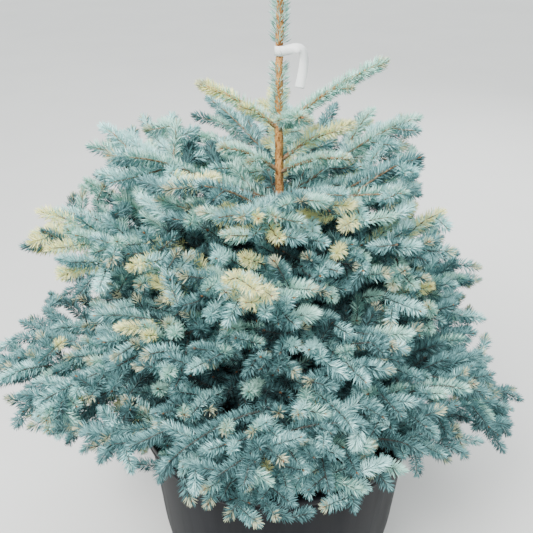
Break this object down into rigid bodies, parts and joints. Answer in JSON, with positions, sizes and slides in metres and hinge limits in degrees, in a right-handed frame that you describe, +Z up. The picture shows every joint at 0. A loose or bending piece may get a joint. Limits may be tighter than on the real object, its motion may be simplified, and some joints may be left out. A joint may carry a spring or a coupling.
{
  "type": "potted blue spruce",
  "caption": "Young blue spruce with one straight leader, whorls of boughs in dense needle foliage and a blank wrap-round label, standing in a round tapered nursery pot filled with soil.",
  "frame": {"origin": "middle of the pot's flat underside, on the ground it stands on", "axes": "+Z up along the trunk, -Y towards the side that the picture shows, +X to the right in the picture"},
  "size_m": [1.0186, 0.8364, 1.2583],
  "materials": {
    "pot": "smooth blown black plastic, faintly scuffed",
    "soil": "loose dark potting soil with bark chips",
    "bark": "thin scaly orange-brown bark, greyer on the old wood",
    "needles": "waxy blue-green needles with a pale bloom, some shoots cream",
    "label": "plain white plastic strip"
  },
  "bodies": {
    "root": {"pot": "pot", "soil": "soil", "trunk": "bark", "label": "label", "top_shoot_1": "needles", "top_shoot_2": "needles", "top_shoot_3": "needles", "top_shoot_4": "needles", "side_shoot_1": "needles", "side_shoot_2": "needles", "side_shoot_3": "needles", "side_shoot_4": "needles", "foliage_tier2_1": "needles", "foliage_tier2_2": "needles", "foliage_tier2_3": "needles", "foliage_tier2_4": "needles", "foliage_tier2_5": "needles", "bough_tier3_1": "bark", "foliage_tier3_1": "needles", "bough_tier3_2": "bark", "foliage_tier3_2": "needles", "bough_tier3_3": "bark", "foliage_tier3_3": "needles", "bough_tier3_4": "bark", "foliage_tier3_4": "needles", "bough_tier3_5": "bark", "foliage_tier3_5": "needles", "bough_tier4_1": "bark", "foliage_tier4_1": "needles", "bough_tier4_2": "bark", "foliage_tier4_2": "needles", "bough_tier4_3": "bark", "foliage_tier4_3": "needles", "bough_tier4_4": "bark", "foliage_tier4_4": "needles", "bough_tier4_5": "bark", "foliage_tier4_5": "needles", "bough_tier5_1": "bark", "foliage_tier5_1": "needles", "bough_tier5_2": "bark", "foliage_tier5_2": "needles", "bough_tier5_3": "bark", "foliage_tier5_3": "needles", "bough_tier5_4": "bark", "foliage_tier5_4": "needles", "bough_tier5_5": "bark", "foliage_tier5_5": "needles", "bough_tier6_1": "bark", "foliage_tier6_1": "needles", "bough_tier6_2": "bark", "foliage_tier6_2": "needles", "bough_tier6_3": "bark", "foliage_tier6_3": "needles", "bough_tier6_4": "bark", "foliage_tier6_4": "needles", "bough_tier6_5": "bark", "foliage_tier6_5": "needles", "bough_tier6_6": "bark", "foliage_tier6_6": "needles"}
  },
  "joints": []
}
